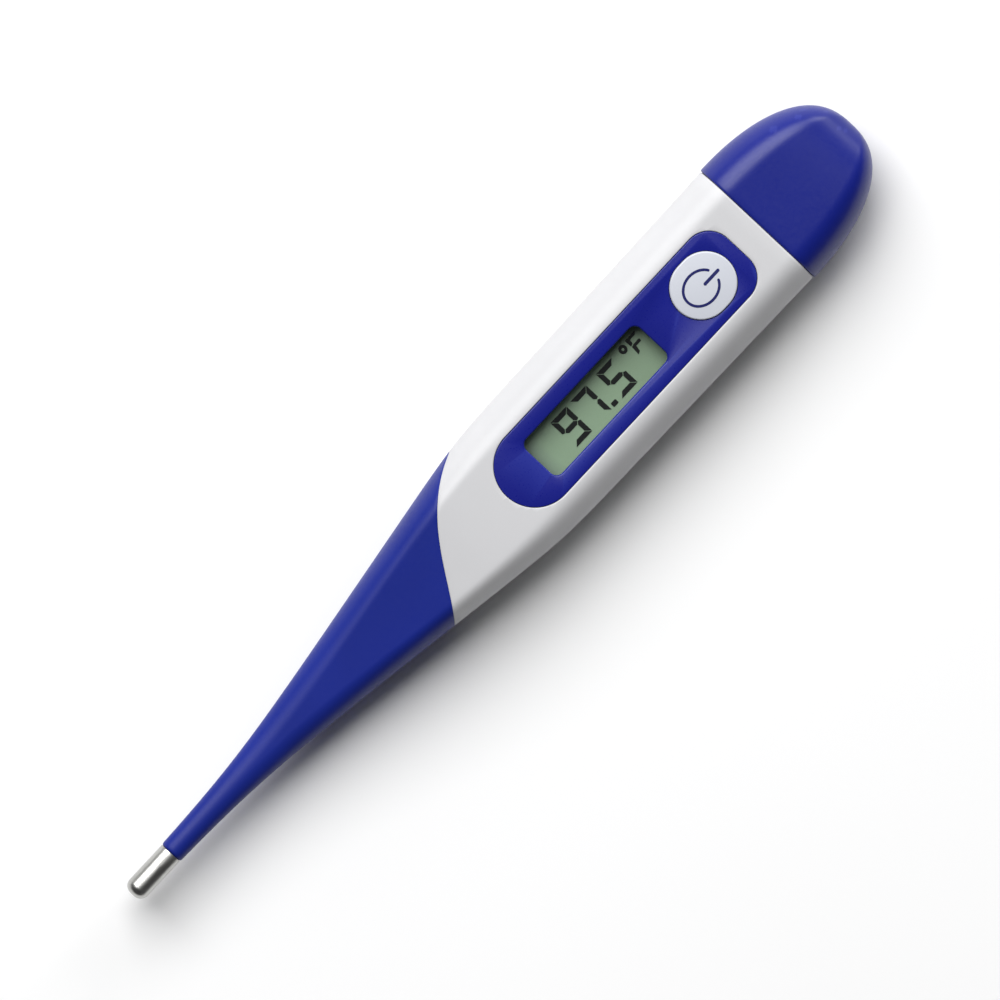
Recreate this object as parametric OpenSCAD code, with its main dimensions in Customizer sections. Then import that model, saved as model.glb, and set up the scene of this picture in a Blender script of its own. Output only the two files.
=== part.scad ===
// Pen-shaped digital thermometer with a flexible probe.
// X runs along the pen, from the probe tip at -X to the battery cap at +X. Z is up.
// The pen lies display up on its flat back at Z = 0, and the origin is under its middle.
// Lengths named *_s are distances from the probe tip, measured along the pen.

/* [Overall] */
// Length from the probe tip to the end of the battery cap
overall_length = 130; // [129.8:0.1:130.2]
// Thickness of the handle
body_thickness = 11; // [10.9:0.1:11.2]
// Half of the flat stretch across the top and the back of the handle
flat_half = 5.2; // [5.15:0.05:5.3]
// Widening of the handle for each millimetre of length
side_draft = 0.019; // [0.017:0.001:0.021]
// Height of the flat foot on the back, which the pen lies on
foot_height = 0.3; // [0.25:0.05:0.35]
// Facets in each quarter of the rounded sides
quarter_steps = 7; // [5:1:10]

/* [Probe] */
// Diameter of the steel tip
tip_d = 3; // [2.96:0.02:3.04]
// Length of steel that shows in front of the sleeve
tip_length = 7; // [6.8:0.1:7.2]
// Wall of the steel tip
tip_wall = 0.2; // [0.15:0.05:0.25]
// Bore of the sleeve, for the two leads
lead_bore_d = 1.3; // [1.25:0.05:1.4]
// Diameter of each lead with its varnish
lead_d = 0.3; // [0.2:0.02:0.32]

/* [Flexible sleeve] */
// Place of the bend line nearest to the handle
bend_rear_s = 28; // [27.5:0.5:28.5]
// Place of the middle bend line
bend_mid_s = 20; // [19.5:0.5:20.5]
// Place of the bend line nearest to the tip
bend_front_s = 12.5; // [12.2:0.1:12.8]
// Slant of the faces that meet at a bend line, from the upright
bend_slant = 9; // [8.5:0.5:12]
// Thickness of the soft skin over the front of the handle
skin = 1.2; // [1.1:0.1:1.3]

/* [Display] */
// Width of the blue panel
panel_width = 10.2; // [10:0.1:10.3]
// Thickness of the blue panel, which lies flush in the handle
panel_thickness = 0.8; // [0.7:0.1:0.8]
// Length of the window in the panel
window_length = 20.5; // [20:0.1:20.6]
// Width of the window in the panel
window_width = 6.1; // [5.8:0.1:6.2]

/* [Power key] */
// Length of the key along the pen
key_length = 8.7; // [8.5:0.1:8.8]
// Width of the key across the pen
key_width = 7.8; // [7.6:0.1:7.9]
// Height of the key above the panel
key_proud = 0.35; // [0.3:0.05:0.6]

/* [Battery end] */
// Diameter of the button cell
cell_d = 7.9; // [7.8:0.05:7.9]
// Height of the button cell
cell_h = 3.6; // [3.5:0.05:3.6]
// Step from the handle out to the side of the cap
cap_step = 0.15; // [0.1:0.05:0.2]

/* [Hidden] */
$fn = 64;

// Middle height, a sliver for pieces that join, and a span larger than any section
mid_z = body_thickness / 2;
eps = 0.01;
big = 40;

// Profile of the pen: two soft bends join a straight taper to the collar and to the handle.
// The thickness reaches its full size a little before the width
taper_s = 19.6;
taper_blend = 5.2;
shoulder_s = 68.5;
shoulder_blend = 2.2;
thick_shoulder_s = 61;
handle_width = 17;
cap_s = 113;
cap_length = overall_length - cap_s;
width_slope = (handle_width - tip_d) / (shoulder_s - taper_s);
thick_slope = (body_thickness - tip_d) / (thick_shoulder_s - taper_s);
flat_start_s = 20;
flat_end_s = 68;
cap_width_power = [2.2, 2.5];
cap_thick_power = [4.5, 2.5];
// Foot on the back of the handle, with its upper side buried in the wall
foot_s = 66.5;
foot_root = 0.5;

// Edge of the soft skin over the handle: one curve across the pen
skin_edge = [[51.5, -6.3], [56, -0.7], [58.9, 6.9], [67.6, 8.95]];
skin_edge_steps = 12;
core_s = 36;
base_front_s = bend_rear_s;

// Room inside the handle and inside the cap
bay_s = 69.5;
bay_width = 15.4;
bay_z = [1.3, 9.5];
bay_r = 2.5;
chamber_s = 62.5;
chamber_size = [11.2, 4.4];
mouth_gap = 0.05;
fit_gap = 0.15;
spigot_s = 108.4;
spigot_wall = 1;
spigot_r = 2.35;
room_s = 123.4;
ring_s = 110.2;
ring_width = 1.2;
ring_depth = 0.6;
ring_gap = 0.05;

// Panel, lens and window
panel_s = [67.4, 109.1];
panel_corner_r = 3.3;
panel_gap = 0.05;
panel_z = body_thickness - panel_thickness;
window_s = 83.45;
window_r = 1;
lens_border = 0.55;
lens_reach = 0.5;
adhesive_thickness = 0.1;

// Key and its travel
key_s = 102.85;
key_gap = 0.15;
key_travel = 0.35;
flange_size = [9.6, 8.8];
flange_z = [9.3, 9.78];
plunger_d = 3;
plunger_z = 9.2;
opening_size = [10.1, 9.3];
seal_outer = [10, 9.2];
seal_inner = [8.9, 8.1];
seal_z = 9.85;

// Circuit chassis and board
chassis_s = 69.8;
tray_end_s = 106.4;
tray_gap = 0.3;
tray_top_z = 6.3;
tray_floor_z = 2.5;
ledge_half = 5.6;
tray_half = 6.3;
cradle_end_s = 122.8;
cradle_half = 6.15;
cradle_z = [2.85, 7.5];
cradle_r = 0.9;
ledge_inset = 1.2;
board_play = 0.2;
cell_s = 117.5;
cell_gap = 0.1;
cell_z = 3.8;
push_slot_half = 1.6;
board_z = [4.6, 5.4];
board_s = [70.2, 106.2];
board_half = 6.15;
tail_s = 111.6;
tail_half = 3.2;

// Contacts: a leaf against the side of the cell, and a strip under it
leaf_thickness = 0.2;
leaf_half = 1.4;
leaf_foot = 3;
leaf_top_z = 7.2;
strip_s = [tail_s - 1.8, cell_s + 2];
strip_half = 0.7;
contact_play = 0.1;
slot_half = leaf_half + 0.3;

// Parts on the board
chip_s = 84;
chip_r = 3.4;
chip_height = 1.2;
chip_row_s = 98;
resistor_size = [1.6, 0.8, 0.45];
resistor_y = [-4.2, -2.4, -0.6];
capacitor_size = [1.6, 0.8, 0.8];
capacitor_y = [1.6, 3.6];

// Button cell: can, sealing ring and cup
can_wall = 0.25;
can_lip_z = 0.35;
gasket_wall = 0.4;
gasket_z = 0.3;
cell_roof = 2;

// Display stack
lcd_s = [72, 94.9];
lcd_half = 4.4;
frame_s = [71.1, 95.8];
frame_half = 5.5;
frame_top_z = plunger_z - key_travel - 0.15;
frame_lip = 0.3;
film = 0.15;
glass = 0.55;
lcd_top_z = frame_top_z - frame_lip;
front_glass_z = lcd_top_z - film - glass;
rear_glass_z = front_glass_z - glass;
reflector_z = rear_glass_z - film;
zebra_half = 0.4;

// Press switch
switch_size = 4.8;
switch_floor_z = 6.9;
switch_top_z = 8;
cover_thickness = 0.2;
stem_d = 2;
stem_z = [7.6, 9.15];
dome_r = 1.6;
dome_wall = 0.08;

// Buzzer, on the floor of the tray
buzzer_s = 96.5;
buzzer_d = 10;
buzzer_plate = 0.2;

// Neck of the steel tip, inside the sleeve
neck_d = 2.2;
neck_length = 2.6;
nose_r = 1.2;
nose_bore_r = 0.9;
potting_s = 1.25;
potting_gap = 0.01;
potting_room = 0.4;
lead_room_d = 1.2;

// Leads: straight down the sleeve, then two hairpins of slack in front of the board
lead_pitch = 0.6;
hairpin_r = 1.2;
hairpin_s = [64.5, 67.2];
lead_z = board_z[1] + lead_d / 2;
bead_s = 2.3;
bead_r = 0.55;
lead_end_s = 70.5;
solder_size = [0.5, 0.45, 0.35];

// ---------------------------------------------------------------- profile of the pen
function softramp(x, blend) = blend * ln(1 + exp(x / blend));
function climb(s, end_s) = softramp(s - taper_s, taper_blend) - softramp(s - end_s, shoulder_blend);
function smoothstep(a, b, x) = let (t = min(1, max(0, (x - a) / (b - a)))) t * t * (3 - 2 * t);
function cap_u(s) = min(1, max(0, (s - cap_s) / cap_length));
function rounding(s, power) = pow(1 - pow(cap_u(s), power[0]), 1 / power[1]);
function handle_half(s) = (tip_d + width_slope * climb(s, shoulder_s) + side_draft * (s - tip_length)) / 2;
function half_width(s) =
    s <= cap_s ? handle_half(s) : (handle_half(cap_s) + cap_step) * rounding(s, cap_width_power);
function half_thick(s) =
    (tip_d + thick_slope * climb(s, thick_shoulder_s)) / 2 * rounding(s, cap_thick_power);
function half_flat(s) =
    flat_half * smoothstep(flat_start_s, flat_end_s, s) * rounding(s, cap_width_power);

// The back lies higher than a mirror image of the front by the height of the foot
function back_share(s) = 1 - foot_height / mid_z * smoothstep(flat_start_s, thick_shoulder_s, s);

// One cross-section: flats above and below, joined by a half ellipse on each side
function section(s, inset) =
    let (w = half_width(s) - inset, h = half_thick(s) - inset, f = min(half_flat(s), w - 0.3))
    [for (q = [0:3]) for (i = [0:quarter_steps])
        let (a = 90 * (q + i / quarter_steps), side = (q == 0 || q == 3) ? 1 : -1,
             share = q < 2 ? 1 : back_share(s))
        [s, side * f + (w - f) * cos(a), mid_z + share * h * sin(a)]];

// A closed body through the sections at the given places
module loft(places, inset = 0) {
    rings = [for (s = places) section(s, inset)];
    n = len(rings[0]);
    last = len(places) - 1;
    sides = [for (k = [0:last - 1]) for (i = [0:n - 1])
        let (j = (i + 1) % n, a = k * n, b = a + n)
        each [[a + i, b + i, b + j], [a + i, b + j, a + j]]];
    polyhedron([for (ring = rings) each ring],
               concat([[for (i = [0:n - 1]) i]], sides, [[for (i = [n - 1:-1:0]) last * n + i]]));
}

function spread(a, b, count) = [for (i = [0:count]) a + (b - a) * i / count];
// Places along the cap, closer together towards its round end
function cap_places(a, b, count) = [for (i = [0:count]) a + (b - a) * sin(90 * i / count)];

// ---------------------------------------------------------------- shared shapes
// Everything is drawn at its distance from the tip, then moved to the frame of the part
module placed() {
    translate([-overall_length / 2, 0, 0]) children();
}

// A box given by its spans
module block(s, y, z) {
    translate([s[0], y[0], z[0]]) cube([s[1] - s[0], y[1] - y[0], z[1] - z[0]]);
}

// A flat rectangle with round corners, centred
module round_rect(length, width, r) {
    square([length - 2 * r, width], center = true);
    square([length, width - 2 * r], center = true);
    for (x = [-1, 1], y = [-1, 1])
        translate([x * (length / 2 - r), y * (width / 2 - r)]) circle(r);
}

// A round-cornered prism along the pen, centred on z
module round_bar(s, width, height, r, z) {
    translate([s[0], 0, z]) rotate([90, 0, 90])
        linear_extrude(s[1] - s[0]) round_rect(width, height, r);
}

// An oval: two half rounds with a short waist between them, along the pen
module oval(size) {
    r = size[1] / 2;
    shift = (size[0] - size[1]) / 2;
    square([2 * shift, size[1]], center = true);
    for (x = [-1, 1])
        translate([x * shift, 0]) circle(r);
}

module oval_plate(size, z) {
    translate([key_s, 0, z[0]]) linear_extrude(z[1] - z[0]) oval(size);
}

// A rod along the pen
module rod(s, d, y = 0, z = mid_z) {
    translate([s[0], y, z]) rotate([0, 90, 0]) cylinder(h = s[1] - s[0], d = d);
}

// Outline of the panel: a half round in front and tighter corners behind
module panel_outline(gap = 0) {
    r = panel_width / 2;
    s0 = panel_s[0] + r;
    s1 = panel_s[1] - panel_corner_r;
    translate([s0, 0]) circle(r + gap);
    translate([s0, -r - gap]) square([s1 - s0, panel_width + 2 * gap]);
    translate([s1 - eps, -r + panel_corner_r])
        square([panel_corner_r + eps + gap, panel_width - 2 * panel_corner_r]);
    for (y = [-1, 1])
        translate([s1, y * (r - panel_corner_r)]) circle(panel_corner_r + gap);
}

// The skin's edge as points, run on straight past both flanks
function bezier(p, t) =
    pow(1 - t, 3) * p[0] + 3 * t * pow(1 - t, 2) * p[1] + 3 * t * t * (1 - t) * p[2] + pow(t, 3) * p[3];
edge_points = [for (t = spread(0, 1, skin_edge_steps)) bezier(skin_edge, t)];
edge_start = skin_edge[0] - 1.2 * (skin_edge[1] - skin_edge[0]);
edge_end = skin_edge[3] + 1.2 * (skin_edge[3] - skin_edge[2]);

// The side of the edge that belongs to the handle
module handle_side() {
    translate([0, 0, -big / 2]) linear_extrude(big)
        polygon(concat([edge_start], edge_points, [edge_end, [big * 4, edge_end[1]],
                       [big * 4, edge_start[1] - big], [edge_start[0], edge_start[1] - big]]));
}

// The side that belongs to the skin
module skin_side() {
    translate([0, 0, -big / 2]) linear_extrude(big)
        polygon(concat([edge_start], edge_points, [edge_end, [edge_end[0], big],
                       [-big, big], [-big, -big], [edge_start[0], -big]]));
}

// What is left of a stretch of sleeve once both ends slant away from the bend lines
module bend_wedge(s0, s1, slant0, slant1) {
    reach = 8;
    gap = 0.05;
    a = s0 + (slant0 ? gap : 0);
    b = s1 - (slant1 ? gap : 0);
    da = slant0 ? reach * tan(bend_slant) : 0;
    db = slant1 ? reach * tan(bend_slant) : 0;
    translate([0, big / 2, mid_z]) rotate([90, 0, 0]) linear_extrude(big)
        polygon([[a, 0], [a + da, reach], [b - db, reach], [b, 0], [b - db, -reach], [a + da, -reach]]);
}

module sleeve_piece(s0, s1, count, slant0) {
    difference() {
        intersection() {
            loft(spread(s0, s1, count));
            bend_wedge(s0, s1, slant0, true);
        }
        rod([s0 - 1, s1 + 1], lead_bore_d);
    }
}

// ---------------------------------------------------------------- handle
// White front shell: one tube, open behind, with a core that runs forward under the skin
module housing_shell() {
    color("whitesmoke") placed() difference() {
        union() {
            intersection() {
                loft([48, 51, 54, 57, 60, 62.5, 65, 67, 69, 71, 74, 80, cap_s - mouth_gap]);
                handle_side();
            }
            loft([core_s, 40, 45, 50, 55, 60, 65, 69], skin);
            block([foot_s, cap_s - mouth_gap], [-flat_half, flat_half], [0, foot_height + foot_root]);
        }
        rod([core_s - 1, chamber_s + 1], lead_bore_d);
        round_bar([chamber_s, bay_s + 1], chamber_size[0], chamber_size[1], 1, mid_z);
        round_bar([bay_s, cap_s + 1], bay_width, bay_z[1] - bay_z[0], bay_r, (bay_z[0] + bay_z[1]) / 2);
        translate([0, 0, panel_z]) linear_extrude(big) panel_outline(panel_gap);
        translate([window_s, 0, mid_z]) linear_extrude(big)
            round_rect(window_length + 2 * lens_border, window_width + 2 * lens_border, window_r);
        oval_plate(opening_size, [mid_z, body_thickness + 1]);
    }
}

// Soft skin over the front of the handle, back to its curved edge
module sleeve_base() {
    color("mediumblue") placed() difference() {
        intersection() {
            loft([base_front_s, 30, 33, core_s, 39, 42, 45, 48, 51, 54, 57, 60, 62.5, 65, 67, 69, 71]);
            skin_side();
            bend_wedge(base_front_s, big * 2, true, false);
        }
        loft([core_s, 40, 45, 50, 55, 60, 65, 69], skin);
        rod([base_front_s - 1, core_s + 1], lead_bore_d);
    }
}

module display_panel() {
    color("darkblue") placed() difference() {
        translate([0, 0, panel_z]) linear_extrude(panel_thickness) panel_outline();
        translate([window_s, 0, mid_z]) linear_extrude(big)
            round_rect(window_length, window_width, window_r);
        oval_plate([key_length + 2 * key_gap, key_width + 2 * key_gap], [mid_z, body_thickness + 1]);
    }
}

// Clear window, bonded under the panel
module display_lens() {
    color([0.8, 0.9, 0.95, 0.4]) placed()
        translate([window_s, 0, bay_z[1]]) linear_extrude(panel_z - adhesive_thickness - bay_z[1])
            round_rect(window_length + 2 * lens_reach, window_width + 2 * lens_reach, window_r);
}

module lens_adhesive() {
    color("dimgray") placed()
        translate([window_s, 0, panel_z - adhesive_thickness]) linear_extrude(adhesive_thickness)
            difference() {
                round_rect(window_length + 2 * lens_reach, window_width + 2 * lens_reach, window_r);
                round_rect(window_length, window_width, window_r);
            }
}

// Silicone gasket under the panel, around the key
module key_seal() {
    color("gray") placed() difference() {
        oval_plate(seal_outer, [seal_z, panel_z]);
        oval_plate(seal_inner, [seal_z - 1, panel_z + 1]);
    }
}

module power_key() {
    color("white") placed() {
        oval_plate([key_length, key_width], [flange_z[1] - eps, body_thickness + key_proud]);
        oval_plate(flange_size, flange_z);
        translate([key_s, 0, plunger_z]) cylinder(h = flange_z[0] - plunger_z + eps, d = plunger_d);
    }
}

// ---------------------------------------------------------------- leads
// Two varnished wires, each with two hairpins in the room in front of the board
module hairpin(centre, y, r, side) {
    translate([centre, y, lead_z]) rotate([0, 0, side > 0 ? -90 : 90])
        rotate_extrude(angle = 180) translate([r, 0]) circle(d = lead_d, $fn = 24);
}

module lead(offset) {
    y0 = offset;
    y1 = 2 * hairpin_r - offset;
    y2 = 4 * hairpin_r + offset;
    rod([bead_s + bead_r, hairpin_s[1]], lead_d, y0, lead_z);
    hairpin(hairpin_s[1], hairpin_r, hairpin_r - offset, 1);
    rod(hairpin_s, lead_d, y1, lead_z);
    hairpin(hairpin_s[0], 3 * hairpin_r, hairpin_r + offset, -1);
    rod([hairpin_s[0], lead_end_s], lead_d, y2, lead_z);
}

module lead_wires() {
    color("orangered") placed() {
        for (side = [-1, 1])
            lead(side * lead_pitch / 2);
    }
}

module lead_solder() {
    color("lightgray") placed() {
        for (side = [-1, 1])
            translate([lead_end_s, 4 * hairpin_r + side * lead_pitch / 2 - solder_size[1] / 2, board_z[1]])
                cube(solder_size);
    }
}

// ---------------------------------------------------------------- circuit
module chassis_solid() {
    bay_h = bay_z[1] - bay_z[0];
    intersection() {
        round_bar([chassis_s, tray_end_s], bay_width - 2 * tray_gap, bay_h - 2 * tray_gap,
                  bay_r - tray_gap, (bay_z[0] + bay_z[1]) / 2);
        block([0, big * 4], [-big, big], [0, tray_top_z]);
    }
    round_bar([tray_end_s - 1, cradle_end_s], 2 * cradle_half, cradle_z[1] - cradle_z[0], cradle_r,
              (cradle_z[0] + cradle_z[1]) / 2);
}

// Tray that carries the board in front and the cell behind
module circuit_chassis() {
    color("gainsboro") placed() difference() {
        chassis_solid();
        block([chassis_s - 1, tray_end_s - ledge_inset], [-ledge_half, ledge_half], [tray_floor_z, big]);
        block([chassis_s - 1, tray_end_s], [-tray_half, tray_half], [board_z[0], big]);
        block([tray_end_s - 2, tail_s + board_play], [-tail_half - board_play, tail_half + board_play],
              [board_z[0], big]);
        translate([cell_s, 0, cell_z]) cylinder(h = big, d = cell_d + 2 * cell_gap);
        block([tail_s - 1, cell_s], [-slot_half, slot_half], [cell_z, big]);
        block([strip_s[0] - contact_play, strip_s[1] + contact_play],
              [-strip_half - contact_play, strip_half + contact_play], [cell_z - leaf_thickness, big]);
        block([cell_s, cradle_end_s + 1], [-push_slot_half, push_slot_half], [cell_z + 1, big]);
    }
}

module circuit_board() {
    color("darkgreen") placed() {
        block(board_s, [-board_half, board_half], board_z);
        block([board_s[1] - 1, tail_s], [-tail_half, tail_half], board_z);
    }
}

// Frame that holds the glass down on the board, open on top
module lcd_frame() {
    color("gray") placed() difference() {
        block(frame_s, [-frame_half, frame_half], [board_z[1], frame_top_z]);
        block([lcd_s[0] - 0.05, lcd_s[1] + 0.05], [-lcd_half - 0.05, lcd_half + 0.05],
              [board_z[1] - 1, lcd_top_z]);
        translate([window_s, 0, mid_z]) linear_extrude(big)
            round_rect(window_length + 1.4, window_width + 1.4, 0.5);
    }
}

module lcd_layer(z, thickness, low_y = -lcd_half) {
    block(lcd_s, [low_y, lcd_half], [z, z + thickness]);
}

module lcd_polariser() {
    color("darkseagreen") placed() lcd_layer(lcd_top_z - film, film);
}

module lcd_front_glass() {
    color([0.75, 0.85, 0.8, 0.5]) placed() lcd_layer(front_glass_z, glass);
}

module lcd_rear_glass() {
    color([0.7, 0.8, 0.75, 0.5]) placed() lcd_layer(rear_glass_z, glass, -lcd_half + 1);
}

module lcd_reflector() {
    color("silver") placed() lcd_layer(reflector_z, film, -lcd_half + 1);
}

// Striped rubber that joins the board to the contacts under the overhanging glass
module zebra_strip() {
    color("pink") placed()
        block([lcd_s[0] + 1, lcd_s[1] - 1], [-lcd_half, -lcd_half + 2 * zebra_half],
              [board_z[1], front_glass_z]);
}

// Resin-covered chip under the board
module controller_chip() {
    sphere_r = (chip_r * chip_r + chip_height * chip_height) / (2 * chip_height);
    color("black") placed() difference() {
        translate([chip_s, 0, board_z[0] - chip_height + sphere_r]) sphere(sphere_r);
        block([0, big * 4], [-big, big], [board_z[0], big]);
    }
}

module chip_part(y, size) {
    block([chip_row_s - size[0] / 2, chip_row_s + size[0] / 2], [y - size[1] / 2, y + size[1] / 2],
          [board_z[1], board_z[1] + size[2]]);
}

module chip_resistors() {
    color("black") placed() {
        for (y = resistor_y)
            chip_part(y, resistor_size);
    }
}

module chip_capacitors() {
    color("tan") placed() {
        for (y = capacitor_y)
            chip_part(y, capacitor_size);
    }
}

// ---------------------------------------------------------------- press switch
module switch_base() {
    half = switch_size / 2;
    color("dimgray") placed() difference() {
        block([key_s - half, key_s + half], [-half, half], [board_z[1], switch_top_z]);
        translate([key_s, 0, switch_floor_z]) cylinder(h = big, r = dome_r + 0.1);
    }
}

// Snap dome: a thin spherical cap
module switch_dome() {
    height = stem_z[0] - switch_floor_z;
    outer_r = (dome_r * dome_r + height * height) / (2 * height);
    color("silver") placed() translate([key_s, 0, switch_floor_z]) difference() {
        translate([0, 0, height - outer_r]) sphere(outer_r);
        translate([0, 0, height - outer_r]) sphere(outer_r - dome_wall);
        translate([0, 0, -big]) cube(2 * big, center = true);
    }
}

module switch_cover() {
    half = switch_size / 2;
    color("silver") placed() difference() {
        block([key_s - half, key_s + half], [-half, half], [switch_top_z, switch_top_z + cover_thickness]);
        translate([key_s, 0, 0]) cylinder(h = big, d = stem_d + 0.2);
    }
}

module switch_stem() {
    color("black") placed()
        translate([key_s, 0, stem_z[0]]) cylinder(h = stem_z[1] - stem_z[0], d = stem_d);
}

// ---------------------------------------------------------------- buzzer
module buzzer_disc() {
    color("goldenrod") placed()
        translate([buzzer_s, 0, tray_floor_z]) cylinder(h = buzzer_plate, d = buzzer_d);
}

module buzzer_ceramic() {
    color("ghostwhite") placed()
        translate([buzzer_s, 0, tray_floor_z + buzzer_plate]) cylinder(h = buzzer_plate, d = 0.7 * buzzer_d);
}

module buzzer_wires() {
    color("red") placed() {
        translate([buzzer_s, 0, tray_floor_z + 2 * buzzer_plate])
            cylinder(h = board_z[0] - tray_floor_z - 2 * buzzer_plate, d = 0.5);
        translate([buzzer_s + 0.43 * buzzer_d, 0, tray_floor_z + buzzer_plate])
            cylinder(h = board_z[0] - tray_floor_z - buzzer_plate, d = 0.5);
    }
}

// ---------------------------------------------------------------- cell and contacts
// Spring leaf against the side of the can, with its foot on the tail of the board
module positive_contact() {
    leaf_end_s = cell_s - cell_d / 2;
    leaf_s = leaf_end_s - leaf_thickness;
    color("gold") placed() {
        block([leaf_s, leaf_end_s], [-leaf_half, leaf_half], [board_z[1], leaf_top_z]);
        block([leaf_s - leaf_foot, leaf_end_s], [-leaf_half, leaf_half],
              [board_z[1], board_z[1] + leaf_thickness]);
    }
}

// Strip on the floor of the cradle, under the small face of the cell
module negative_contact() {
    color("gold") placed() {
        block(strip_s, [-strip_half, strip_half], [cell_z - leaf_thickness, cell_z]);
        block([strip_s[0], strip_s[0] + leaf_thickness], [-strip_half, strip_half],
              [cell_z - leaf_thickness, board_z[0]]);
    }
}

module cell_can() {
    color("lightgray") placed() translate([cell_s, 0, cell_z]) difference() {
        translate([0, 0, can_lip_z]) cylinder(h = cell_h - can_lip_z, d = cell_d);
        translate([0, 0, -1]) cylinder(h = cell_h - cell_roof + 1, d = cell_d - 2 * can_wall);
    }
}

module cell_gasket() {
    color("black") placed() translate([cell_s, 0, cell_z]) difference() {
        translate([0, 0, gasket_z]) cylinder(h = cell_h - cell_roof - gasket_z, d = cell_d - 2 * can_wall);
        translate([0, 0, -1]) cylinder(h = big, d = cell_d - 2 * (can_wall + gasket_wall));
    }
}

module cell_cup() {
    color("silver") placed()
        translate([cell_s, 0, cell_z])
            cylinder(h = cell_h - cell_roof, d = cell_d - 2 * (can_wall + gasket_wall));
}

// ---------------------------------------------------------------- battery cap
module spigot_bar(s, wall_in) {
    h = bay_z[1] - bay_z[0] - 2 * fit_gap;
    round_bar(s, bay_width - 2 * fit_gap - 2 * wall_in, h - 2 * wall_in, spigot_r - wall_in,
              (bay_z[0] + bay_z[1]) / 2);
}

// Blue cap with the tube that plugs into the handle, hollow for the cell
module battery_cap() {
    color("mediumblue") placed() difference() {
        union() {
            loft(concat([cap_s], cap_places(cap_s + 1.5, overall_length - 0.02, 13)));
            spigot_bar([spigot_s, cap_s + 1], 0);
        }
        spigot_bar([spigot_s - 1, room_s], spigot_wall);
        difference() {
            spigot_bar([ring_s, ring_s + ring_width], -1);
            spigot_bar([ring_s - 1, ring_s + ring_width + 1], ring_depth);
        }
    }
}

module cap_seal_ring() {
    color("lightgray") placed() difference() {
        spigot_bar([ring_s, ring_s + ring_width], ring_gap - fit_gap);
        spigot_bar([ring_s - 1, ring_s + ring_width + 1], ring_depth);
    }
}

// ---------------------------------------------------------------- flexible sleeve and tip
module sleeve_flex_rear() {
    color("mediumblue") placed() sleeve_piece(bend_mid_s, bend_rear_s, 4, true);
}

module sleeve_flex_front() {
    color("mediumblue") placed() sleeve_piece(bend_front_s, bend_mid_s, 4, true);
}

// Front end of the sleeve, which grips the neck of the steel tip
module sleeve_collar() {
    color("mediumblue") placed() difference() {
        sleeve_piece(tip_length, bend_front_s, 3, false);
        rod([tip_length - 1, tip_length + neck_length], neck_d);
    }
}

// Closed steel tube with a round nose and a narrower neck
module probe_tip() {
    flat_r = tip_d / 2 - nose_r;
    color("silver") placed() difference() {
        union() {
            translate([0, 0, mid_z]) rotate([0, 90, 0]) rotate_extrude() {
                translate([0, nose_r]) square([tip_d / 2, tip_length - nose_r]);
                square([flat_r, nose_r]);
                translate([flat_r, nose_r]) intersection() {
                    circle(nose_r);
                    translate([0, -nose_r]) square(nose_r);
                }
            }
            rod([tip_length - eps, tip_length + neck_length], neck_d);
        }
        rod([nose_r, tip_length - tip_wall], tip_d - 2 * tip_wall);
        rod([tip_wall, nose_r + eps], 2 * nose_bore_r);
        rod([tip_length - 1, tip_length + neck_length + 1], neck_d - 2 * tip_wall);
    }
}

// Glass bead that senses the temperature
module thermistor() {
    color("black") placed() translate([bead_s, 0, mid_z]) sphere(bead_r);
}

// Resin that fills the steel tip around the bead
module tip_potting() {
    color("beige") placed() difference() {
        rod([potting_s, tip_length - tip_wall - potting_room], tip_d - 2 * (tip_wall + potting_gap));
        translate([bead_s, 0, mid_z]) sphere(bead_r);
        rod([bead_s, tip_length], lead_room_d);
    }
}

housing_shell();
sleeve_base();
display_panel();
display_lens();
lens_adhesive();
key_seal();
lead_wires();
power_key();
circuit_chassis();
circuit_board();
lcd_frame();
lcd_polariser();
lcd_front_glass();
lcd_rear_glass();
lcd_reflector();
zebra_strip();
controller_chip();
chip_resistors();
chip_capacitors();
lead_solder();
switch_base();
switch_dome();
switch_cover();
switch_stem();
buzzer_disc();
buzzer_ceramic();
buzzer_wires();
positive_contact();
negative_contact();
cell_can();
cell_gasket();
cell_cup();
battery_cap();
cap_seal_ring();
sleeve_flex_rear();
sleeve_flex_front();
sleeve_collar();
probe_tip();
thermistor();
tip_potting();
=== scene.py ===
import math
import bpy
import bmesh
import numpy as np
from mathutils import Matrix, Vector


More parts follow.
